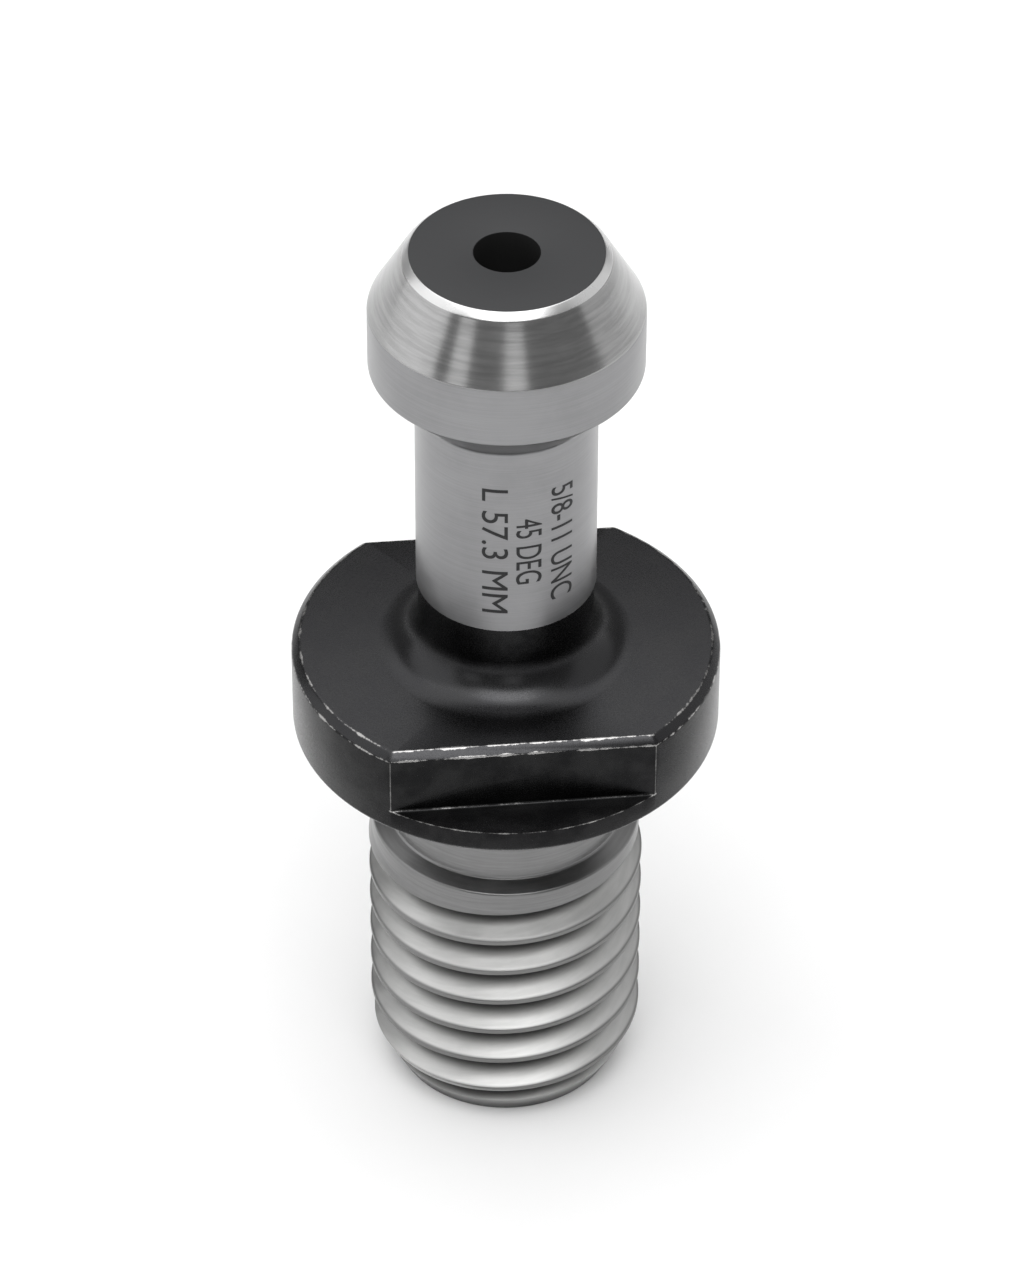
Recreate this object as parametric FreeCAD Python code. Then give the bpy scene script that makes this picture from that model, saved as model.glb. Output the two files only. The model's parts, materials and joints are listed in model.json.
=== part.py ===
"""Pull stud (retention knob) for a 40-taper tool holder, turned from one bar of alloy steel.

The stud screws into the small end of a tool holder and stands out of it. The machine's drawbar
grips the 45 degree cone under the head and pulls the holder into the spindle. Coolant runs down
the bore on the axis.

Frame: millimetres, +Z up along the axis, origin at the centre of the thread's flat end, on which
the stud stands. The wrench flats face -Y and +Y.

The solid is one turned blank with a milled pair of wrench flats and a right-hand screw thread:
    turned_blank    outline with its fillets and chamfers, revolved about the axis
    wrench_flats    two prisms taken off the flange from above, which leave a full-round rim
    thread_cuts     the 60 degree groove swept up a helix, turn by turn, and its widening run-out
"""

import FreeCAD
import Part
import math
import os

from FreeCAD import Vector

# Screw thread, 5/8-11 UNC, right-hand
THREADS_PER_INCH = 11
THREAD_DIAMETER = 15.68         # over the crests, where class 2A allows 15.53 to 15.83
THREAD_ANGLE = 60.0             # between the flanks
CREST_FLAT_SHARE = 1 / 8        # width of the crest, as a share of the pitch
ROOT_FLAT_SHARE = 1 / 6         # width of the bottom of the groove, as a share of the pitch
RUN_OUT_ANGLE = 90.0            # turn over which the groove fades to nothing
RUN_OUT_START_ANGLE = 75.0      # where the groove starts to fade, from +X towards +Y
RUN_OUT_DROP = 1.71             # from the relief's foot down to the groove's middle there

# Shank: flat end, long lead chamfer, thread, land and relief
SHANK_LENGTH = 25.1             # flat end to the flange's seat
END_CHAMFER_LENGTH = 3.0
END_FACE_STEP = 0.06            # flat end under the bottom of the groove, on the radius
LAND_STEP = 0.19                # plain land above the thread under its crests, on the radius
LAND_LENGTH = 1.1
LAND_TAPER_LENGTH = 0.6         # from the land out to the thread's crests
SHOULDER_DROP = 0.45            # fall of the shoulder from the relief out to the land
RELIEF_STEP = 0.28              # relief over the bottom of the groove, on the radius
RELIEF_LENGTH = 6.65

# Flange with its wrench flats
FLANGE_DIAMETER = 24.0
FLANGE_THICKNESS = 5.5
FLANGE_TOP_CHAMFER = 0.45
FLANGE_SEAT_CHAMFER = 0.3
FLAT_WIDTH = 19.0               # across the flats, the wrench size
FLAT_CHAMFER = 0.42
RIM_THICKNESS = 1.5             # full-round rim left below the flats

# Neck
NECK_DIAMETER = 10.0            # ground
NECK_LENGTH = 17.0              # flange top to the foot of the grip cone
UNDERCUT_STEP = 0.1             # unground stretch above the flange, on the radius
UNDERCUT_LENGTH = 4.6
FLANGE_FILLET = 2.3             # between the neck and the flange's top

# Head
HEAD_DIAMETER = 15.0
GRIP_ANGLE = 45.0               # of the cone under the head, from the axis
BAND_LENGTH = 3.6               # cylindrical band round the head
CROWN_LENGTH = 3.6              # top of the band to the top face
CROWN_ANGLE = 30.0              # of the cone above the band, from the axis
CROWN_CHAMFER = 0.38            # bright edge round the top face

# Coolant bore
BORE_DIAMETER = 3.6
BORE_END_CHAMFER = 0.3          # at the thread's end only; the top edge is left sharp

# Room that the cutting tools have past the surfaces they cut
TOOL_CLEARANCE = 0.1

PITCH = 25.4 / THREADS_PER_INCH
THREAD_RADIUS = THREAD_DIAMETER / 2
FLANK_SLOPE = math.tan(math.radians(THREAD_ANGLE / 2))
CREST_HALF_GAP = PITCH * (1 - CREST_FLAT_SHARE) / 2
ROOT_HALF_WIDTH = PITCH * ROOT_FLAT_SHARE / 2
GROOVE_DEPTH = (CREST_HALF_GAP - ROOT_HALF_WIDTH) / FLANK_SLOPE
ROOT_RADIUS = THREAD_RADIUS - GROOVE_DEPTH

SEAT_Z = SHANK_LENGTH
FLANGE_TOP_Z = SEAT_Z + FLANGE_THICKNESS
NECK_TOP_Z = FLANGE_TOP_Z + NECK_LENGTH
GRIP_HEIGHT = (HEAD_DIAMETER - NECK_DIAMETER) / 2 / math.tan(math.radians(GRIP_ANGLE))
BAND_BOTTOM_Z = NECK_TOP_Z + GRIP_HEIGHT
BAND_TOP_Z = BAND_BOTTOM_Z + BAND_LENGTH
TOP_Z = BAND_TOP_Z + CROWN_LENGTH
RELIEF_BOTTOM_Z = SEAT_Z - RELIEF_LENGTH
LAND_TOP_Z = RELIEF_BOTTOM_Z - SHOULDER_DROP
LAND_BOTTOM_Z = LAND_TOP_Z - LAND_LENGTH

ORIGIN = Vector(0, 0, 0)
AXIS = Vector(0, 0, 1)


def point(radius, height):
    """A point of the axial section, which lies in the XZ plane."""
    return Vector(radius, 0, height)


def section_wire(corners):
    """A closed wire through corners (radius, height, fillet), with a tangent arc at each fillet."""
    arcs = []
    ends = []
    for i, (radius, height, fillet) in enumerate(corners):
        corner = point(radius, height)
        before = (point(*corners[i - 1][:2]) - corner).normalize()
        after = (point(*corners[(i + 1) % len(corners)][:2]) - corner).normalize()
        half_angle = before.getAngle(after) / 2
        setback = fillet / math.tan(half_angle)
        start = corner + before * setback
        end = corner + after * setback
        if fillet:
            to_arc = fillet / math.sin(half_angle) - fillet
            middle = corner + (before + after).normalize() * to_arc
            arcs.append(Part.Arc(start, middle, end).toShape())
        ends.append((start, end))
    lines = [
        Part.LineSegment(ends[i - 1][1], ends[i][0]).toShape()
        for i in range(len(ends))
    ]
    return Part.Wire(Part.__sortEdges__(lines + arcs))


def turned_blank():
    """The stud as it leaves the lathe, before its flats and thread."""
    bore = BORE_DIAMETER / 2
    land = THREAD_RADIUS - LAND_STEP
    relief = ROOT_RADIUS + RELIEF_STEP
    flange = FLANGE_DIAMETER / 2
    neck = NECK_DIAMETER / 2
    undercut = neck - UNDERCUT_STEP
    undercut_top = FLANGE_TOP_Z + UNDERCUT_LENGTH
    head = HEAD_DIAMETER / 2
    crown_edge_z = TOP_Z - CROWN_CHAMFER
    crown = head - (crown_edge_z - BAND_TOP_Z) * math.tan(math.radians(CROWN_ANGLE))
    outline = section_wire([
        (bore + BORE_END_CHAMFER, 0, 0),
        (ROOT_RADIUS - END_FACE_STEP, 0, 0),
        (THREAD_RADIUS, END_CHAMFER_LENGTH, 0),
        (THREAD_RADIUS, LAND_BOTTOM_Z - LAND_TAPER_LENGTH, 0),
        (land, LAND_BOTTOM_Z, 0),
        (land, LAND_TOP_Z, 0),
        (relief, RELIEF_BOTTOM_Z, 0),
        (relief, SEAT_Z, 0),
        (flange - FLANGE_SEAT_CHAMFER, SEAT_Z, 0),
        (flange, SEAT_Z + FLANGE_SEAT_CHAMFER, 0),
        (flange, FLANGE_TOP_Z - FLANGE_TOP_CHAMFER, 0),
        (flange - FLANGE_TOP_CHAMFER, FLANGE_TOP_Z, 0),
        (undercut, FLANGE_TOP_Z, FLANGE_FILLET),
        (undercut, undercut_top, 0),
        (neck, undercut_top, 0),
        (neck, NECK_TOP_Z, 0),
        (head, BAND_BOTTOM_Z, 0),
        (head, BAND_TOP_Z, 0),
        (crown, crown_edge_z, 0),
        (crown - CROWN_CHAMFER, TOP_Z, 0),
        (bore, TOP_Z, 0),
        (bore, BORE_END_CHAMFER, 0),
    ])
    return Part.Face(outline).revolve(ORIGIN, AXIS, 360)


def wrench_flats():
    """The metal milled off each side of the flange, with the flat's top edge chamfered."""
    flat = FLAT_WIDTH / 2
    ledge_z = SEAT_Z + RIM_THICKNESS
    reach = FLANGE_DIAMETER
    above = FLANGE_TOP_Z + TOOL_CLEARANCE
    section = Part.makePolygon([
        Vector(-reach, flat, ledge_z),
        Vector(-reach, reach, ledge_z),
        Vector(-reach, reach, above),
        Vector(-reach, flat - FLAT_CHAMFER - TOOL_CLEARANCE, above),
        Vector(-reach, flat, FLANGE_TOP_Z - FLAT_CHAMFER),
        Vector(-reach, flat, ledge_z),
    ])
    one_side = Part.Face(section).extrude(Vector(2 * reach, 0, 0))
    other_side = one_side.copy()
    other_side.rotate(ORIGIN, AXIS, 180)
    return [one_side, other_side]


def groove_section():
    """The groove in axial section, centred on height 0 and running out past the crests."""
    outside = THREAD_RADIUS + TOOL_CLEARANCE
    outside_half = CREST_HALF_GAP + TOOL_CLEARANCE * FLANK_SLOPE
    return Part.makePolygon([
        point(outside, -outside_half),
        point(ROOT_RADIUS, -ROOT_HALF_WIDTH),
        point(ROOT_RADIUS, ROOT_HALF_WIDTH),
        point(outside, outside_half),
        point(outside, -outside_half),
    ])


def swept_groove(rise, widening):
    """The groove's section carried up a helix from +X, opening outwards at an angle from the axis."""
    helix = Part.makeHelix(PITCH, rise, THREAD_RADIUS, widening)
    sweep = Part.BRepOffsetAPI.MakePipeShell(Part.Wire(helix.Edges))
    sweep.setBiNormalMode(AXIS)
    sweep.add(groove_section(), False, False)
    sweep.build()
    sweep.makeSolid()
    return sweep.shape()


def thread_cuts():
    """The run-out, and under it the full-depth groove as separate turns down past the flat end."""
    full_end_z = RELIEF_BOTTOM_Z - RUN_OUT_DROP
    rise = PITCH * RUN_OUT_ANGLE / 360
    widening = math.degrees(math.atan((GROOVE_DEPTH + TOOL_CLEARANCE) / rise))
    run_out = swept_groove(rise, widening)
    run_out.translate(AXIS * full_end_z)
    cuts = [run_out]

    turn = swept_groove(PITCH, 0)
    for i in range(math.ceil((full_end_z + PITCH / 2) / PITCH)):
        cuts.append(turn.translated(AXIS * (full_end_z - (i + 1) * PITCH)))

    for cut in cuts:
        cut.rotate(ORIGIN, AXIS, RUN_OUT_START_ANGLE)
    return cuts


def pull_stud():
    """The finished stud, one solid."""
    stud = turned_blank().cut(wrench_flats())
    for cut in thread_cuts():
        stud = stud.cut(cut)
    return stud


def main():
    os.makedirs("parts", exist_ok=True)
    stud = pull_stud()
    if len(stud.Solids) != 1 or not stud.isValid():
        raise ValueError("the stud is not one valid solid")
    stud.Solids[0].exportStep("parts/pull_stud.step")
    print("pull_stud", round(stud.Volume, 2), "mm3")


main()
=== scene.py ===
"""The looks of a pull stud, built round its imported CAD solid.

Laid out as an add-on and run as a script. Lengths are in metres, in the CAD model's frame: +Z up
the stud's axis, the flat end of the thread at Z = 0, the wrench flats facing -Y and +Y.
"""
import json
import math

import bmesh
import bpy
from bpy.props import (
    BoolProperty,
    FloatProperty,
    FloatVectorProperty,
    IntProperty,
    PointerProperty,
    StringProperty,
)
from mathutils import Matrix, Vector


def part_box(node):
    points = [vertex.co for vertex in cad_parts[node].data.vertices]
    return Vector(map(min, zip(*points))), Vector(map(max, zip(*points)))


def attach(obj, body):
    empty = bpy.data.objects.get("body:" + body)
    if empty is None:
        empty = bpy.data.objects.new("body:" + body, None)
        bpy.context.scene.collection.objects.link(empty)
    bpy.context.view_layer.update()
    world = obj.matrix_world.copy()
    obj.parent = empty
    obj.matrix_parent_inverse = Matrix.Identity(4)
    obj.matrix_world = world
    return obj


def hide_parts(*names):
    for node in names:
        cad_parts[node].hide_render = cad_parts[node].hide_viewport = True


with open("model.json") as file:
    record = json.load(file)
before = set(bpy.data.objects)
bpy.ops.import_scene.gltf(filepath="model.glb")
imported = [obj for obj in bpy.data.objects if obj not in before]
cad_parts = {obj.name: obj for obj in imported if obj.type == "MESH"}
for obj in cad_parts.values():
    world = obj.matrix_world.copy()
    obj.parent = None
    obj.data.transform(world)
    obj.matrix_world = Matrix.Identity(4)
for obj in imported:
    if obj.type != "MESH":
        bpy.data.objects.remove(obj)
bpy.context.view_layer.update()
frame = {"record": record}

bl_info = {
    "name": "Pull stud",
    "version": (1, 0, 0),
    "blender": (4, 5, 0),
    "location": "View3D > Sidebar > Pull Stud",
    "description": "Turns, mills, threads and finishes a pull stud for a tool holder",
    "category": "Add Mesh",
}

MM = 0.001
NODE = "pull_stud"
BODY = "root"
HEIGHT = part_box(NODE)[1].z
FLANGE_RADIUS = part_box(NODE)[1].x
MOUNTS = {mount["name"]: mount for mount in frame["record"]["mounts"]}
SEAT_HEIGHT = MOUNTS["seat_face"]["pos_m"][2]
FLAT_DISTANCE = -MOUNTS["wrench_flat_front"]["pos_m"][1]
BORE_RADIUS = MOUNTS["coolant_bore"]["dims"]["r_mm"] * MM
HEAD_RADIUS = MOUNTS["head_band"]["dims"]["r_mm"] * MM
BAND_LENGTH = MOUNTS["head_band"]["dims"]["length_mm"] * MM
BAND_MIDDLE = MOUNTS["head_band"]["pos_m"][2]
CREST_RADIUS = MOUNTS["thread"]["dims"]["r_mm"] * MM


def length(name, description, default):
    return FloatProperty(name=name, description=description, default=default, unit="LENGTH", precision=5)


def colour(name, description, default):
    return FloatVectorProperty(
        name=name, description=description, default=default, subtype="COLOR", size=3, min=0, max=1
    )


class StudSizes(bpy.types.PropertyGroup):
    """Sizes that the CAD solid gives, and the small radii that it leaves out."""

    bore_radius: length("Bore radius", "Coolant bore on the axis", BORE_RADIUS)
    bore_chamfer: length("Bore chamfer", "Chamfer at the thread's end of the bore", 0.3 * MM)
    crest_radius: length("Crest radius", "Over the thread's crests", CREST_RADIUS)
    pitch: length("Pitch", "From one thread to the next", 25.4 / 11 * MM)
    end_radius: length("End radius", "Flat end that the stud stands on", 6.36 * MM)
    lead_length: length("Lead length", "Long chamfer that starts the thread", 3.0 * MM)
    land_radius: length("Land radius", "Plain land above the thread", 7.65 * MM)
    land_bottom: length("Land bottom", "Height where the land starts", 16.9 * MM)
    land_top: length("Land top", "Height of the land's upper edge", 18.0 * MM)
    relief_radius: length("Relief radius", "Undercut below the flange", 6.7 * MM)
    relief_bottom: length("Relief bottom", "Height where the relief starts", 18.45 * MM)
    run_out_start: FloatProperty(
        name="Run-out start", description="Turn about the axis where the groove starts to fade",
        default=math.radians(75), subtype="ANGLE",
    )
    run_out_height: length("Run-out height", "Height of the groove's middle there", 16.74 * MM)
    run_out_turn: FloatProperty(
        name="Run-out turn", description="Turn over which the groove fades to nothing",
        default=math.radians(90), subtype="ANGLE",
    )
    seat_height: length("Seat height", "Underside of the flange", SEAT_HEIGHT)
    flange_radius: length("Flange radius", "Outside of the flange", FLANGE_RADIUS)
    flange_top: length("Flange top", "Height of the flange's upper face", SEAT_HEIGHT + 5.5 * MM)
    flange_chamfer: length("Flange chamfer", "Upper edge of the flange", 0.45 * MM)
    seat_chamfer: length("Seat chamfer", "Lower edge of the flange", 0.3 * MM)
    flange_fillet: length("Flange fillet", "Hollow radius from the neck to the flange", 2.3 * MM)
    flat_distance: length("Flat distance", "From the axis to each wrench flat", FLAT_DISTANCE)
    flat_chamfer: length("Flat chamfer", "Upper edge of each wrench flat", 0.42 * MM)
    rim_height: length("Rim height", "Full-round rim left below the flats", 1.5 * MM)
    neck_radius: length("Neck radius", "Ground part of the neck", 5.0 * MM)
    undercut_depth: length("Undercut depth", "Step down to the unground foot of the neck", 0.1 * MM)
    undercut_top: length("Undercut top", "Height where the ground part starts", 35.2 * MM)
    head_radius: length("Head radius", "Band round the head", HEAD_RADIUS)
    band_bottom: length("Band bottom", "Lower edge of the band", BAND_MIDDLE - BAND_LENGTH / 2)
    band_top: length("Band top", "Upper edge of the band", BAND_MIDDLE + BAND_LENGTH / 2)
    crown_chamfer: length("Crown chamfer", "Bright edge round the top face", 0.38 * MM)
    height: length("Height", "Flat end to top face", HEIGHT)
    mark_left: StringProperty(name="Left mark", description="Length over all", default="L 57.3 MM")
    mark_middle: StringProperty(name="Middle mark", description="Grip angle", default="45 DEG")
    mark_right: StringProperty(name="Right mark", description="Thread", default="5/8-11 UNC")
    mark_height: length("Mark height", "Of the etched letters", 1.5 * MM)
    mark_front: FloatProperty(
        name="Mark front", description="Turn about the axis that the marks are set out from",
        default=math.radians(-95.9), subtype="ANGLE",
    )
    edge_round: length("Edge round", "Break of the turned edges", 0.12 * MM)
    turned_steps: IntProperty(name="Turned steps", description="Facets round a full turn", default=192)
    thread_steps: IntProperty(name="Thread steps", description="Facets in a turn of the thread", default=128)


class StudStage(bpy.types.PropertyGroup):
    """Camera and lights."""

    camera_distance: length("Camera distance", "From the camera to the point it looks at", 337.06 * MM)
    camera_elevation: FloatProperty(
        name="Camera elevation", description="Above the horizon", default=math.radians(40.155), subtype="ANGLE"
    )
    camera_azimuth: FloatProperty(
        name="Camera azimuth", description="Turn of the camera round the stud from straight in front",
        default=math.radians(-5.9), subtype="ANGLE",
    )
    camera_roll: FloatProperty(
        name="Camera roll", description="Turn about the line of sight", default=math.radians(0.157),
        subtype="ANGLE",
    )
    aim_height: length("Aim height", "Height of the point that the camera looks at", 30.37 * MM)
    focal_length: FloatProperty(name="Focal length", description="In millimetres", default=169.57)
    sideways_shift: FloatProperty(
        name="Sideways shift", description="Of the picture, in picture heights", default=0.00204, precision=5
    )
    floor_colour: colour("Floor colour", "Plain pale floor", (0.9, 0.9, 0.9))
    sky_strength: FloatProperty(name="Sky strength", description="Even light from all round", default=0.28)
    overhead_glow: FloatProperty(
        name="Overhead glow", description="Radiance of the softbox above, in W/m2/sr", default=1.45
    )
    key_glow: FloatProperty(
        name="Key glow", description="Radiance of the small softbox above the camera, in W/m2/sr", default=2.6
    )
    left_glow: FloatProperty(
        name="Left glow", description="Radiance of the softbox on the left, in W/m2/sr", default=1.0
    )
    right_glow: FloatProperty(
        name="Right glow", description="Radiance of the softbox on the right, in W/m2/sr", default=0.5
    )
    front_glow: FloatProperty(
        name="Front glow", description="Radiance of the two strips beside the camera, in W/m2/sr", default=0.9
    )


def deselect_all():
    """Leaves edit mode with nothing selected."""
    if bpy.context.object and bpy.context.object.mode != "OBJECT":
        bpy.ops.object.mode_set(mode="OBJECT")
    bpy.ops.object.select_all(action="DESELECT")


def activate(piece):
    """Makes a piece the only selected object and the active one."""
    deselect_all()
    piece.select_set(True)
    bpy.context.view_layer.objects.active = piece


def named(name):
    """The primitive just added, under its own name."""
    piece = bpy.context.object
    piece.name = name
    piece.data.name = name
    return piece


def select_mesh(mode, wanted):
    """In edit mode, selects the vertices, edges or faces that a test picks."""
    mesh = bmesh.from_edit_mesh(bpy.context.object.data)
    bpy.ops.mesh.select_mode(type=mode)
    bpy.ops.mesh.select_all(action="DESELECT")
    items = {"VERT": mesh.verts, "EDGE": mesh.edges, "FACE": mesh.faces}[mode]
    for item in items:
        if wanted(item):
            item.select_set(True)
    mesh.select_flush_mode()
    bmesh.update_edit_mesh(bpy.context.object.data)


def same(a, b, gap=1e-6):
    return abs(a - b) < gap


def radius_of(point):
    return math.hypot(point.x, point.y)


def middle_of(edge):
    return (edge.verts[0].co + edge.verts[1].co) / 2


def outline(name, corners):
    """A chain of edges through corners (radius, height, setback) in the XZ plane, each set-back corner rounded. Leaves it in edit mode, all selected."""
    deselect_all()
    radius, height = corners[0][:2]
    bpy.ops.mesh.primitive_plane_add(size=MM, location=(0, 0, 0))
    piece = named(name)
    bpy.ops.object.mode_set(mode="EDIT")
    bpy.ops.mesh.select_mode(type="VERT")
    bpy.ops.mesh.select_all(action="SELECT")
    bpy.ops.mesh.merge(type="CENTER")
    bpy.ops.transform.translate(value=(radius, 0, height))
    for before, after in zip(corners, corners[1:]):
        step = (after[0] - before[0], 0, after[1] - before[1])
        bpy.ops.mesh.extrude_region_move(TRANSFORM_OT_translate={"value": step})
    for radius, height, setback in corners:
        if setback:
            select_mesh("VERT", lambda v: same(v.co.x, radius) and same(v.co.z, height))
            bpy.ops.mesh.bevel(
                offset=setback, affect="VERTICES", segments=8 if setback > MM else 4, clamp_overlap=True
            )
    bpy.ops.mesh.select_all(action="SELECT")
    return piece


def tidy_shell():
    """In edit mode, welds doubles and points every face outwards."""
    bpy.ops.mesh.select_all(action="SELECT")
    bpy.ops.mesh.remove_doubles(threshold=1e-7)
    bpy.ops.mesh.normals_make_consistent(inside=False)


def turned_blank(sizes):
    """The lathe work: the outline of half the section, spun round the axis."""
    bore = sizes.bore_radius
    crest = sizes.crest_radius
    room = 0.05 * MM
    lead_slope = (crest - sizes.end_radius) / sizes.lead_length
    taper_slope = (crest - sizes.land_radius) / (0.6 * MM)
    undercut = sizes.neck_radius - sizes.undercut_depth
    flange = sizes.flange_radius
    top = sizes.height
    crown_edge = top - sizes.crown_chamfer
    crown = sizes.head_radius - (crown_edge - sizes.band_top) * math.tan(math.radians(30))
    grip_foot = sizes.band_bottom - (sizes.head_radius - sizes.neck_radius)
    small = sizes.edge_round
    corners = [
        (bore, sizes.bore_chamfer, 0),
        (bore + sizes.bore_chamfer, 0, 0),
        (sizes.end_radius, 0, small),
        (crest + room, sizes.lead_length + room / lead_slope, 0),
        (crest + room, sizes.land_bottom - 0.6 * MM - room / taper_slope, 0),
        (sizes.land_radius, sizes.land_bottom, small),
        (sizes.land_radius, sizes.land_top, small),
        (sizes.relief_radius, sizes.relief_bottom, small),
        (sizes.relief_radius, sizes.seat_height, 0.4 * MM),
        (flange - sizes.seat_chamfer, sizes.seat_height, 0.5 * small),
        (flange, sizes.seat_height + sizes.seat_chamfer, small),
        (flange, sizes.flange_top - sizes.flange_chamfer, small),
        (flange - sizes.flange_chamfer, sizes.flange_top, small),
        (undercut, sizes.flange_top, sizes.flange_fillet),
        (undercut, sizes.undercut_top, 0),
        (sizes.neck_radius, sizes.undercut_top + 0.02 * MM, 0),
        (sizes.neck_radius, grip_foot, 0.25 * MM),
        (sizes.head_radius, sizes.band_bottom, small),
        (sizes.head_radius, sizes.band_top, small),
        (crown, crown_edge, 0.6 * small),
        (crown - sizes.crown_chamfer, top, 0.6 * small),
        (bore, top, 0.3 * small),
        (bore, sizes.bore_chamfer, 0),
    ]
    piece = outline("stud", corners)
    bpy.ops.mesh.spin(
        steps=sizes.turned_steps, angle=2 * math.pi, center=(0, 0, 0), axis=(0, 0, 1), dupli=False
    )
    tidy_shell()
    bpy.ops.object.mode_set(mode="OBJECT")
    return piece


def threaded_rod(sizes):
    """The thread as a closed rod: one pitch of its section carried up a screw, faded out at the top, and widened above the thread so that it leaves the rest of the blank alone."""
    pitch = sizes.pitch
    crest = sizes.crest_radius
    crest_half_gap = pitch * 7 / 16
    root_half = pitch / 12
    root = crest - (crest_half_gap - root_half) / math.tan(math.radians(30))
    turns = math.ceil((sizes.seat_height - 3 * MM) / pitch) + 1
    fade_height = sizes.run_out_height
    low = fade_height - (math.floor(fade_height / pitch) + 1) * pitch
    corners = [
        (crest, low - pitch / 2, 0),
        (crest, low - crest_half_gap, 0.06 * MM),
        (root, low - root_half, root_half * 0.96),
        (root, low + root_half, root_half * 0.96),
        (crest, low + crest_half_gap, 0.06 * MM),
        (crest, low + pitch / 2, 0),
    ]
    piece = outline("thread_rod", corners)
    flanks = (root + (crest - root) * 0.3, root + (crest - root) * 0.7)
    select_mesh("EDGE", lambda e: flanks[0] < middle_of(e).x < flanks[1])
    bpy.ops.mesh.subdivide(number_cuts=7)
    bpy.ops.mesh.select_all(action="SELECT")
    bpy.ops.transform.rotate(
        value=-sizes.run_out_start, orient_axis="Z", center_override=(0, 0, 0)
    )
    bpy.ops.object.mode_set(mode="OBJECT")
    screw = piece.modifiers.new("Thread", "SCREW")
    screw.axis = "Z"
    screw.angle = 2 * math.pi
    screw.screw_offset = pitch
    screw.iterations = turns
    screw.steps = screw.render_steps = sizes.thread_steps
    bpy.ops.object.modifier_apply(modifier=screw.name)

    def group(name, weight):
        made = piece.vertex_groups.new(name=name)
        for vertex in piece.data.vertices:
            share = weight(vertex.co)
            if share > 0:
                made.add([vertex.index], share, "REPLACE")
        return made.name

    def faded(co):
        turn = (math.atan2(co.y, co.x) - sizes.run_out_start) / (2 * math.pi)
        rise = (co.z - fade_height) / pitch
        full_turns = turn + round(rise - turn)
        return min(max(full_turns * 2 * math.pi / sizes.run_out_turn, 0), 1)

    def cast(name, size, factor, vertex_group):
        made = piece.modifiers.new(name, "CAST")
        made.cast_type = "CYLINDER"
        made.use_radius_as_size = False
        made.use_z = False
        made.radius = 0
        made.size = size
        made.factor = factor
        made.vertex_group = vertex_group
        bpy.ops.object.modifier_apply(modifier=made.name)

    drop = crest - root + 0.3 * MM
    cast("Run-out", 1.0, drop, group("run_out", faded))
    cast("Crest", crest, 1.0, group("crest", lambda co: radius_of(co) > crest and 1))
    piece.vertex_groups.clear()

    bpy.ops.object.mode_set(mode="EDIT")
    tidy_shell()
    for height, normal in ((-0.5 * MM, (0, 0, -1)), (20 * MM, (0, 0, 1))):
        bpy.ops.mesh.select_all(action="SELECT")
        bpy.ops.mesh.bisect(
            plane_co=(0, 0, height), plane_no=normal, use_fill=True, clear_outer=True, threshold=1e-7
        )
    select_mesh("FACE", lambda f: f.normal.z > 0.99 and same(f.calc_center_median().z, 20 * MM))
    bpy.ops.mesh.extrude_region_move(TRANSFORM_OT_translate={"value": (0, 0, 0.2 * MM)})
    bpy.ops.transform.resize(value=(1.8, 1.8, 1), center_override=(0, 0, 0))
    bpy.ops.mesh.extrude_region_move(
        TRANSFORM_OT_translate={"value": (0, 0, sizes.height - 19 * MM)}
    )
    tidy_shell()
    bpy.ops.object.mode_set(mode="OBJECT")
    return piece


def flat_cutter(sizes, side):
    """A block that mills one wrench flat, its chamfer and the round in its corner."""
    reach = 4 * MM
    low = sizes.seat_height + sizes.rim_height
    high = sizes.flange_top - sizes.flat_chamfer
    deselect_all()
    bpy.ops.mesh.primitive_cube_add(
        size=1,
        location=(0, side * (sizes.flat_distance + reach / 2), (low + high) / 2),
        scale=(3 * sizes.flange_radius, reach, high - low),
    )
    piece = named("flat_cutter")
    bpy.ops.object.transform_apply(location=True, rotation=False, scale=True)
    bpy.ops.object.mode_set(mode="EDIT")
    select_mesh("FACE", lambda f: f.normal.z > 0.99)
    bpy.ops.mesh.extrude_region_move(TRANSFORM_OT_translate={"value": (0, 0, 1.4 * MM)})
    select_mesh(
        "VERT", lambda v: same(v.co.y, side * sizes.flat_distance) and same(v.co.z, high + 1.4 * MM)
    )
    bpy.ops.transform.translate(value=(0, -side * 1.4 * MM, 0))
    select_mesh(
        "EDGE",
        lambda e: same(middle_of(e).y, side * sizes.flat_distance) and same(middle_of(e).z, low),
    )
    bpy.ops.mesh.bevel(offset=0.14 * MM, segments=4)
    tidy_shell()
    bpy.ops.object.mode_set(mode="OBJECT")
    return piece


def combine(piece, tool, operation):
    """Cuts a piece with a tool, or keeps only what the two share, and drops the tool."""
    activate(piece)
    cut = piece.modifiers.new("Cut", "BOOLEAN")
    cut.operation = operation
    cut.solver = "EXACT"
    cut.object = tool
    bpy.ops.object.modifier_apply(modifier=cut.name)
    activate(tool)
    bpy.ops.object.delete()
    activate(piece)


def break_edges(piece, sizes):
    """Takes the sharpness off the milled edges."""
    low = sizes.seat_height + sizes.rim_height

    def milled(edge):
        inside = all(
            low - 1e-6 < v.co.z < sizes.flange_top + 1e-6
            and abs(v.co.y) > sizes.flat_distance - sizes.flat_chamfer - 1e-6
            for v in edge.verts
        )
        return inside and len(edge.link_faces) == 2 and edge.calc_face_angle_signed() > math.radians(30)

    activate(piece)
    bpy.ops.object.mode_set(mode="EDIT")
    select_mesh("EDGE", milled)
    bpy.ops.mesh.bevel(offset=0.07 * MM, segments=2, clamp_overlap=True)
    tidy_shell()
    bpy.ops.object.mode_set(mode="OBJECT")


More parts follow.
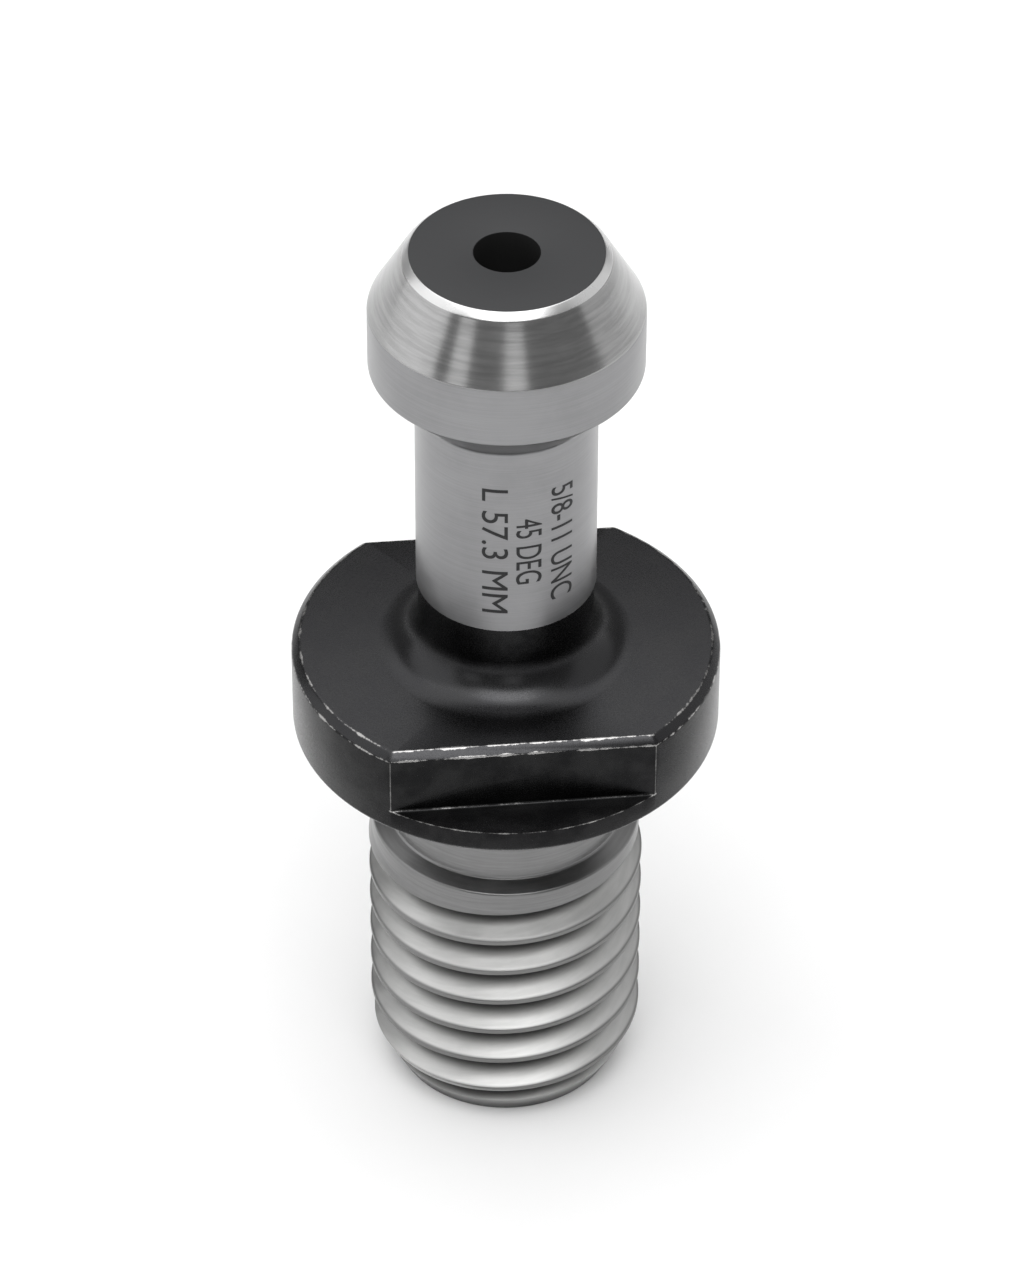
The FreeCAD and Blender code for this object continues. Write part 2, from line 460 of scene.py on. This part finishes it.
class Nodes:
    """Adds shader nodes to a tree and links them up."""

    def __init__(self, tree):
        self.tree = tree

    def add(self, kind, **settings):
        node = self.tree.nodes.new("ShaderNode" + kind)
        for name, value in settings.items():
            setattr(node, name, value)
        return node

    def link(self, value, socket):
        """Feeds a socket from another node's output, or sets it to a constant."""
        if isinstance(value, bpy.types.NodeSocket):
            self.tree.links.new(value, socket)
        else:
            socket.default_value = value

    def math(self, operation, *values, clamp=False):
        node = self.add("Math", operation=operation, use_clamp=clamp)
        for value, socket in zip(values, node.inputs):
            self.link(value, socket)
        return node.outputs[0]

    def spread(self, value, low, high, start=0.0, end=1.0):
        """Carries a value from one range to another, held at both ends."""
        node = self.add("MapRange", interpolation_type="SMOOTHSTEP")
        for given, socket in zip((value, low, high, start, end), node.inputs):
            self.link(given, socket)
        return node.outputs[0]

    def noise(self, vector, scale, detail=2.0, roughness=0.5):
        node = self.add("TexNoise")
        self.link(vector, node.inputs["Vector"])
        node.inputs["Scale"].default_value = scale
        node.inputs["Detail"].default_value = detail
        node.inputs["Roughness"].default_value = roughness
        return node.outputs[0]

    def place(self):
        """Object coordinates, and their x, y and z apart."""
        where = self.add("TexCoord").outputs["Object"]
        apart = self.add("SeparateXYZ")
        self.link(where, apart.inputs[0])
        return where, apart.outputs[0], apart.outputs[1], apart.outputs[2]

    def radius(self, x, y):
        return self.math("SQRT", self.math("ADD", self.math("MULTIPLY", x, x), self.math("MULTIPLY", y, y)))

    def mix(self, share, first, second):
        """A colour between two, by a mask."""
        node = self.add("Mix", data_type="RGBA")
        self.link(share, node.inputs[0])
        for value, socket in ((first, node.inputs[6]), (second, node.inputs[7])):
            self.link(value if isinstance(value, bpy.types.NodeSocket) else (*value, 1), socket)
        return node.outputs[2]


def shader_group(name, inputs, outputs):
    """An empty shader node group with float inputs {name: default} and outputs [(name, socket type)]."""
    tree = bpy.data.node_groups.new(name, "ShaderNodeTree")
    for label, value in inputs.items():
        socket = tree.interface.new_socket(label, in_out="INPUT", socket_type="NodeSocketFloat")
        socket.default_value = value
    for label in outputs:
        tree.interface.new_socket(label, in_out="OUTPUT", socket_type="NodeSocketFloat")
    nodes = Nodes(tree)
    source = tree.nodes.new("NodeGroupInput")
    sink = tree.nodes.new("NodeGroupOutput")
    return nodes, source.outputs, sink.inputs


def lathe_lines_group():
    """Fine lines round the axis, as a tool or a grinding wheel leaves them, on walls, cones and faces alike."""
    nodes, given, out = shader_group("lathe_lines", {"Per mm": 8.0, "Streak": 2.0}, ["Lines"])
    where, x, y, z = nodes.place()
    r = nodes.radius(x, y)
    streak = nodes.math("DIVIDE", given["Streak"], nodes.math("MAXIMUM", r, 1e-5))
    across = nodes.math("MULTIPLY", given["Per mm"], 1 / MM)
    combined = nodes.add("CombineXYZ")
    nodes.link(nodes.math("MULTIPLY", x, streak), combined.inputs[0])
    nodes.link(nodes.math("MULTIPLY", y, streak), combined.inputs[1])
    nodes.link(nodes.math("MULTIPLY", nodes.math("ADD", z, r), across), combined.inputs[2])
    nodes.link(nodes.noise(combined.outputs[0], 1.0, detail=3.0, roughness=0.6), out["Lines"])
    return nodes.tree


def patches_group():
    """Uneven cloudy patches and a fine grain."""
    nodes, given, out = shader_group("patches", {"Per mm": 0.3, "Grain per mm": 9.0}, ["Patches", "Grain"])
    where = nodes.place()[0]
    for size, label in (("Per mm", "Patches"), ("Grain per mm", "Grain")):
        scaled = nodes.add("VectorMath", operation="SCALE")
        nodes.link(where, scaled.inputs[0])
        nodes.link(nodes.math("MULTIPLY", given[size], 1 / MM), scaled.inputs["Scale"])
        nodes.link(nodes.noise(scaled.outputs[0], 1.0, detail=4.0, roughness=0.6), out[label])
    return nodes.tree


def worn_edge_group():
    """A ragged bare line along an edge that lies at one value of each of two coordinates."""
    nodes, given, out = shader_group(
        "worn_edge",
        {"Across": 0.0, "Across edge": 0.0, "Up": 0.0, "Up edge": 0.0, "Width mm": 0.1, "Ragged": 1.0},
        ["Wear"],
    )
    where = nodes.place()[0]
    across = nodes.math("SUBTRACT", given["Across"], given["Across edge"])
    up = nodes.math("SUBTRACT", given["Up"], given["Up edge"])
    away = nodes.math("MULTIPLY", nodes.radius(across, up), 1 / MM)
    bites = nodes.noise(where, 1.1 / MM, detail=5.0, roughness=0.7)
    bites = nodes.math("MULTIPLY", nodes.math("SUBTRACT", bites, 0.5), given["Ragged"])
    width = nodes.math("MULTIPLY", given["Width mm"], nodes.math("ADD", 1.0, nodes.math("MULTIPLY", bites, 4.0)))
    left = nodes.math("SUBTRACT", width, away)
    nodes.link(nodes.spread(left, -0.02, 0.04), out["Wear"])
    return nodes.tree


def start_material(name, base, rough, metallic):
    """A material with constants on its shader, and the means to add to it."""
    material = bpy.data.materials.new(name)
    material.use_nodes = True
    nodes = Nodes(material.node_tree)
    shader = material.node_tree.nodes["Principled BSDF"]
    shader.inputs["Base Color"].default_value = (*base, 1)
    shader.inputs["Roughness"].default_value = rough
    shader.inputs["Metallic"].default_value = metallic
    return material, nodes, shader


def use_group(nodes, name, **values):
    node = nodes.add("Group", node_tree=bpy.data.node_groups[name])
    for label, value in values.items():
        nodes.link(value, node.inputs[label.replace("_", " ")])
    return node.outputs


def lined_steel(name, base, rough, per_mm=8.0, streak=2.0, contrast=0.25, depth=0.004, cloud=0.06, painted_shade_root_radius=None):
    """Bare steel with tool lines round the axis and faint uneven patches; given a root radius, painted shade also
    darkens the thread's roots and dulls its crests.
    """
    material, nodes, shader = start_material(name, base, rough, 1.0)
    lines = use_group(nodes, "lathe_lines", Per_mm=per_mm, Streak=streak)["Lines"]
    patches = use_group(nodes, "patches")["Patches"]
    shade = nodes.math("ADD", nodes.spread(lines, 0.3, 0.7, -contrast, contrast),
                       nodes.spread(patches, 0.3, 0.7, -cloud, cloud))
    dark = tuple(c * 0.5 for c in base)
    light = tuple(min(c * 1.5, 1) for c in base)
    share = nodes.math("ADD", 0.5, shade, clamp=True)
    tone = nodes.mix(share, dark, light)
    if painted_shade_root_radius:
        where, x, y, z = nodes.place()
        r = nodes.radius(x, y)
        # Painted shade: the base colour darkens towards the thread's roots, where shade falls between the flanks.
        tone = nodes.mix(nodes.spread(r, painted_shade_root_radius, painted_shade_root_radius + 0.7 * MM), tuple(c * 0.15 for c in base), tone)
        # Painted shade: the crests are dulled too, standing in for the darker light that they reflect.
        crest = nodes.spread(r, painted_shade_root_radius + 1.22 * MM, painted_shade_root_radius + 1.38 * MM, 0.0, 0.8)
        tone = nodes.mix(crest, tone, tuple(c * 0.3 for c in base))
    nodes.link(tone, shader.inputs["Base Color"])
    nodes.link(nodes.spread(patches, 0.3, 0.7, rough * 0.88, rough * 1.12), shader.inputs["Roughness"])
    bump = nodes.add("Bump")
    bump.inputs["Distance"].default_value = depth * MM
    bump.inputs["Strength"].default_value = 1.0
    nodes.link(lines, bump.inputs["Height"])
    nodes.link(bump.outputs[0], shader.inputs["Normal"])
    return material


def black_oxide(name, sizes):
    """Blackened steel, with painted shade that darkens the walls and the foot of the neck against the top faces, and
    bare lines along its milled and turned edges.
    """
    material, nodes, shader = start_material(name, (0.03, 0.03, 0.03), 0.28, 1.0)
    where, x, y, z = nodes.place()
    r = nodes.radius(x, y)
    off = nodes.math("ABSOLUTE", y)
    low = sizes.seat_height + sizes.rim_height
    top = sizes.flange_top
    flat = sizes.flat_distance
    inner = sizes.flange_radius - 0.02 * MM
    edges = (
        (r, sizes.flange_radius, z, top - sizes.flange_chamfer, 0.04, 3.0),
        (r, sizes.flange_radius - sizes.flange_chamfer, z, top, 0.04, 3.0),
        (r, inner, z, low, 0.02, 3.0),
        (off, flat - sizes.flat_chamfer, z, top, 0.06, 2.2),
        (off, flat, z, top - sizes.flat_chamfer, 0.045, 2.4),
        (off, flat, z, low, 0.055, 0.8),
        (off, flat, r, sizes.flange_radius, 0.012, 1.4),
    )
    wear = None
    for across, across_edge, up, up_edge, width, ragged in edges:
        mask = use_group(
            nodes, "worn_edge", Across=across, Across_edge=across_edge, Up=up, Up_edge=up_edge,
            Width_mm=width, Ragged=ragged,
        )["Wear"]
        if across_edge == inner:
            mask = nodes.math("MULTIPLY", mask, nodes.spread(off, flat - 0.1 * MM, flat))
        if up_edge == sizes.flange_radius:
            mask = nodes.math("MULTIPLY", mask, nodes.math("GREATER_THAN", z, low))
        wear = mask if wear is None else nodes.math("MAXIMUM", wear, mask)
    cover = use_group(nodes, "patches", Per_mm=0.5, Grain_per_mm=12.0)
    # Painted shade: below the flats' chamfer, and on the foot of the neck and the fillet's upper part, the oxide gets a
    # darker base colour for the dimmer light these surfaces reflect; deep holds that mask.
    painted_wall_shade = nodes.math("LESS_THAN", z, top - sizes.flat_chamfer * 0.98)
    painted_foot_shade = nodes.spread(z, top + 0.8 * MM, top + 2.3 * MM)
    deep = nodes.math("MAXIMUM", painted_wall_shade, painted_foot_shade)
    tone = nodes.mix(deep, (0.04, 0.04, 0.042), (0.013, 0.013, 0.0135))
    tone = nodes.mix(nodes.spread(cover["Patches"], 0.35, 0.65, 0.0, 0.25), tone, (0.05, 0.05, 0.05))
    nodes.link(nodes.mix(wear, tone, (0.33, 0.325, 0.32)), shader.inputs["Base Color"])
    nodes.link(nodes.spread(cover["Grain"], 0.3, 0.7, 0.22, 0.34), shader.inputs["Roughness"])
    lines = use_group(nodes, "lathe_lines", Per_mm=6.0, Streak=1.5)["Lines"]
    height = nodes.math("ADD", lines, nodes.math("MULTIPLY", cover["Grain"], 0.8))
    bump = nodes.add("Bump")
    bump.inputs["Distance"].default_value = 0.003 * MM
    nodes.link(height, bump.inputs["Height"])
    nodes.link(bump.outputs[0], shader.inputs["Normal"])
    return material


class PULL_STUD_OT_turn(bpy.types.Operator):
    """Turn the blank, mill the wrench flats and cut the thread"""

    bl_idname = "pull_stud.turn"
    bl_label = "Turn and thread the stud"

    def execute(self, context):
        sizes = context.scene.stud_sizes
        piece = turned_blank(sizes)
        for side in (-1, 1):
            combine(piece, flat_cutter(sizes, side), "DIFFERENCE")
        break_edges(piece, sizes)
        combine(piece, threaded_rod(sizes), "INTERSECT")
        bpy.ops.object.shade_smooth_by_angle(angle=math.radians(35))
        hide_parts(NODE)
        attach(piece, BODY)
        return {"FINISHED"}


class PULL_STUD_OT_finish(bpy.types.Operator):
    """Give every face of the stud its finish"""

    bl_idname = "pull_stud.finish"
    bl_label = "Finish the surfaces"

    def execute(self, context):
        sizes = context.scene.stud_sizes
        piece = bpy.data.objects["stud"]
        activate(piece)
        for build in (lathe_lines_group, patches_group, worn_edge_group):
            build()
        low = sizes.seat_height
        crown_edge = sizes.height - sizes.crown_chamfer
        finishes = (
            # Painted shade: the land, the relief and the shoulders get a darker copy of the bare steel, for the dimmer
            # light that they reflect.
            (lined_steel("relief_steel", (0.2, 0.2, 0.2), 0.32, per_mm=8.0, contrast=0.08, depth=0.002),
             lambda r, z: True),
            # The thread's steel takes painted shade at its roots and on its crests.
            (lined_steel("thread_steel", (0.45, 0.45, 0.445), 0.38, per_mm=6.0, contrast=0.06, depth=0.002,
                         painted_shade_root_radius=sizes.crest_radius - 1.4 * MM),
             lambda r, z: z < sizes.land_bottom - (0.62 * MM if r > sizes.land_radius else 0)),
            (black_oxide("black_oxide", sizes), lambda r, z: low - 1e-5 < z < sizes.undercut_top + 1e-5),
            (lined_steel("ground_steel", (0.26, 0.26, 0.265), 0.33, per_mm=14.0, streak=1.0, contrast=0.05,
                         depth=0.0015),
             lambda r, z: sizes.undercut_top + 1e-5 < z < sizes.band_top + 1e-5),
            (lined_steel("turned_steel", (0.36, 0.36, 0.36), 0.2, per_mm=10.0, streak=1.5, contrast=0.12,
                         depth=0.003),
             lambda r, z: sizes.band_top < z < crown_edge),
            (lined_steel("bright_edge", (0.75, 0.75, 0.75), 0.3, contrast=0.05, depth=0.001),
             lambda r, z: crown_edge < z and r > sizes.bore_radius + 0.1 * MM),
            (start_material("black_face", (0.02, 0.0205, 0.022), 0.5, 0.0)[0],
             lambda r, z: z > sizes.height - 1e-5 or (r < sizes.bore_radius + 0.1 * MM and z > crown_edge)),
            (start_material("bore", (0.02, 0.02, 0.02), 0.5, 0.5)[0],
             lambda r, z: r < sizes.bore_radius + 1e-5 and z < crown_edge),
        )
        bpy.ops.object.mode_set(mode="EDIT")
        for index, (material, inside) in enumerate(finishes):
            piece.data.materials.append(material)
            piece.active_material_index = index

            def wanted(face):
                middle = face.calc_center_median()
                return inside(radius_of(middle), middle.z)

            select_mesh("FACE", wanted)
            bpy.ops.object.material_slot_assign()
        bpy.ops.object.mode_set(mode="OBJECT")
        return {"FINISHED"}


class PULL_STUD_OT_mark(bpy.types.Operator):
    """Etch the stud's own sizes down the neck"""

    bl_idname = "pull_stud.mark"
    bl_label = "Mark the sizes"

    def execute(self, context):
        sizes = context.scene.stud_sizes
        ink = start_material("etched_mark", (0.012, 0.012, 0.013), 0.5, 0.3)[0]
        depth = 0.012 * MM
        lines = []
        for words, turn, start, end in (
            (sizes.mark_right, 36.5, 44.7, 36.9),
            (sizes.mark_middle, 13.5, 43.0, 38.5),
            (sizes.mark_left, -8.0, 45.1, 36.5),
        ):
            deselect_all()
            bpy.ops.object.text_add(location=(0, 0, 0))
            text = bpy.context.object
            text.data.body = words
            text.data.align_x = "CENTER"
            text.data.align_y = "CENTER"
            text.data.size = sizes.mark_height * 1.38
            text.data.extrude = depth
            bpy.ops.object.convert(target="MESH")
            text = bpy.context.object
            long = text.dimensions.x
            squeeze = (start - end) * MM / long
            bpy.ops.object.mode_set(mode="EDIT")
            bpy.ops.mesh.select_all(action="SELECT")
            bpy.ops.mesh.remove_doubles(threshold=1e-7)
            middle = (max(v.co.x for v in text.data.vertices) + min(v.co.x for v in text.data.vertices)) / 2
            bpy.ops.transform.translate(value=(-middle, 0, 0))
            bpy.ops.transform.resize(value=(squeeze, 1, 1), center_override=(0, 0, 0))
            tallest = max(v.co.y for v in text.data.vertices)
            lowest = min(v.co.y for v in text.data.vertices)
            strips = 12
            for step in range(1, strips):
                bpy.ops.mesh.select_all(action="SELECT")
                bpy.ops.mesh.bisect(
                    plane_co=(0, lowest + (tallest - lowest) * step / strips, 0), plane_no=(0, 1, 0),
                    threshold=1e-8,
                )
            bpy.ops.object.mode_set(mode="OBJECT")
            lines.append((text, turn, (start + end) / 2 * MM))
        for text, turn, height in lines:
            activate(text)
            for vertex in text.data.vertices:
                along, up, out = vertex.co
                angle = math.radians(turn) + sizes.mark_front + up / sizes.neck_radius
                radius = sizes.neck_radius + out
                vertex.co = (radius * math.cos(angle), radius * math.sin(angle), height - along)
            bpy.ops.object.mode_set(mode="EDIT")
            bpy.ops.mesh.select_all(action="SELECT")
            bpy.ops.mesh.normals_make_consistent(inside=False)
            bpy.ops.object.mode_set(mode="OBJECT")
        deselect_all()
        for text, turn, height in lines:
            text.select_set(True)
        context.view_layer.objects.active = lines[0][0]
        bpy.ops.object.join()
        mark = named("size_mark")
        mark.data.materials.append(ink)
        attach(mark, BODY)
        return {"FINISHED"}


class PULL_STUD_OT_stage(bpy.types.Operator):
    """Lay the floor, hang the lights and place the camera"""

    bl_idname = "pull_stud.stage"
    bl_label = "Set the stage"

    def execute(self, context):
        scene = context.scene
        stage = scene.stud_stage
        deselect_all()
        bpy.ops.mesh.primitive_plane_add(size=6, location=(0, 0, 0))
        floor = named("floor")
        material = bpy.data.materials.new("floor")
        material.use_nodes = True
        shader = material.node_tree.nodes["Principled BSDF"]
        shader.inputs["Base Color"].default_value = (*stage.floor_colour, 1)
        shader.inputs["Roughness"].default_value = 1
        shader.inputs["Specular IOR Level"].default_value = 0
        floor.data.materials.append(material)

        world = bpy.data.worlds.new("studio")
        world.use_nodes = True
        world.node_tree.nodes["Background"].inputs["Color"].default_value = (1, 1, 1, 1)
        world.node_tree.nodes["Background"].inputs["Strength"].default_value = stage.sky_strength
        scene.world = world

        for name, spot, facing, wide, deep, glow in (
            ("overhead", (-0.075, 0.15, 1.0), (0, 0, 1), 1.35, 2.1, stage.overhead_glow),
            ("key", (-0.05, -0.5, 0.9), (0, -0.5, 0.9), 0.7, 0.5, stage.key_glow),
            ("right_side", (1.2, 0.3, 0.7), (1, 0, 0), 1.4, 1.85, stage.right_glow),
            ("left_side", (-1.2, 0.1, 0.7), (-1, 0, 0), 1.4, 2.2, stage.left_glow),
            ("front_left", (-1.05, -1.08, 0.45), (-1.05, -1.08, 0), 0.4, 0.6, stage.front_glow),
            ("front_right", (0.03, -1.5, 0.45), (0, -1, 0), 0.45, 0.6, stage.front_glow),
        ):
            deselect_all()
            bpy.ops.object.light_add(type="AREA", location=spot)
            lamp = bpy.context.object
            lamp.name = lamp.data.name = name
            lamp.rotation_euler = Vector(facing).to_track_quat("Z", "Y").to_euler()
            lamp.data.shape = "RECTANGLE"
            lamp.data.size = wide
            lamp.data.size_y = deep
            lamp.data.energy = glow * math.pi * wide * deep
            lamp.visible_camera = False

        turn, lift = stage.camera_azimuth, stage.camera_elevation
        back = Vector((math.sin(turn) * math.cos(lift), -math.cos(turn) * math.cos(lift), math.sin(lift)))
        aim = Vector((0, 0, stage.aim_height))
        bpy.ops.object.camera_add(location=aim + back * stage.camera_distance)
        camera = bpy.context.object
        camera.name = camera.data.name = "camera"
        look = back.to_track_quat("Z", "Y").to_matrix()
        camera.matrix_world = (
            look.to_4x4() @ Matrix.Rotation(stage.camera_roll, 4, "Z")
        )
        camera.location = aim + back * stage.camera_distance
        camera.data.lens = stage.focal_length
        camera.data.shift_x = stage.sideways_shift
        camera.data.clip_start = 0.01
        scene.camera = camera
        scene.view_settings.view_transform = "Standard"
        return {"FINISHED"}


class VIEW3D_PT_pull_stud(bpy.types.Panel):
    """Sizes and steps of the stud"""

    bl_label = "Pull Stud"
    bl_space_type = "VIEW_3D"
    bl_region_type = "UI"
    bl_category = "Pull Stud"

    def draw(self, context):
        for group in (context.scene.stud_sizes, context.scene.stud_stage):
            box = self.layout.box()
            for name in group.bl_rna.properties.keys():
                if name not in ("rna_type", "name"):
                    box.prop(group, name)
        for step in STEPS:
            self.layout.operator(step.bl_idname)


STEPS = (PULL_STUD_OT_turn, PULL_STUD_OT_finish, PULL_STUD_OT_mark, PULL_STUD_OT_stage)
CLASSES = (StudSizes, StudStage, *STEPS, VIEW3D_PT_pull_stud)


def register():
    for item in CLASSES:
        bpy.utils.register_class(item)
    bpy.types.Scene.stud_sizes = PointerProperty(type=StudSizes)
    bpy.types.Scene.stud_stage = PointerProperty(type=StudStage)


def unregister():
    del bpy.types.Scene.stud_stage
    del bpy.types.Scene.stud_sizes
    for item in reversed(CLASSES):
        bpy.utils.unregister_class(item)


def main():
    register()
    bpy.ops.pull_stud.turn()
    bpy.ops.pull_stud.finish()
    bpy.ops.pull_stud.mark()
    bpy.ops.pull_stud.stage()


if __name__ == "__main__":
    main()
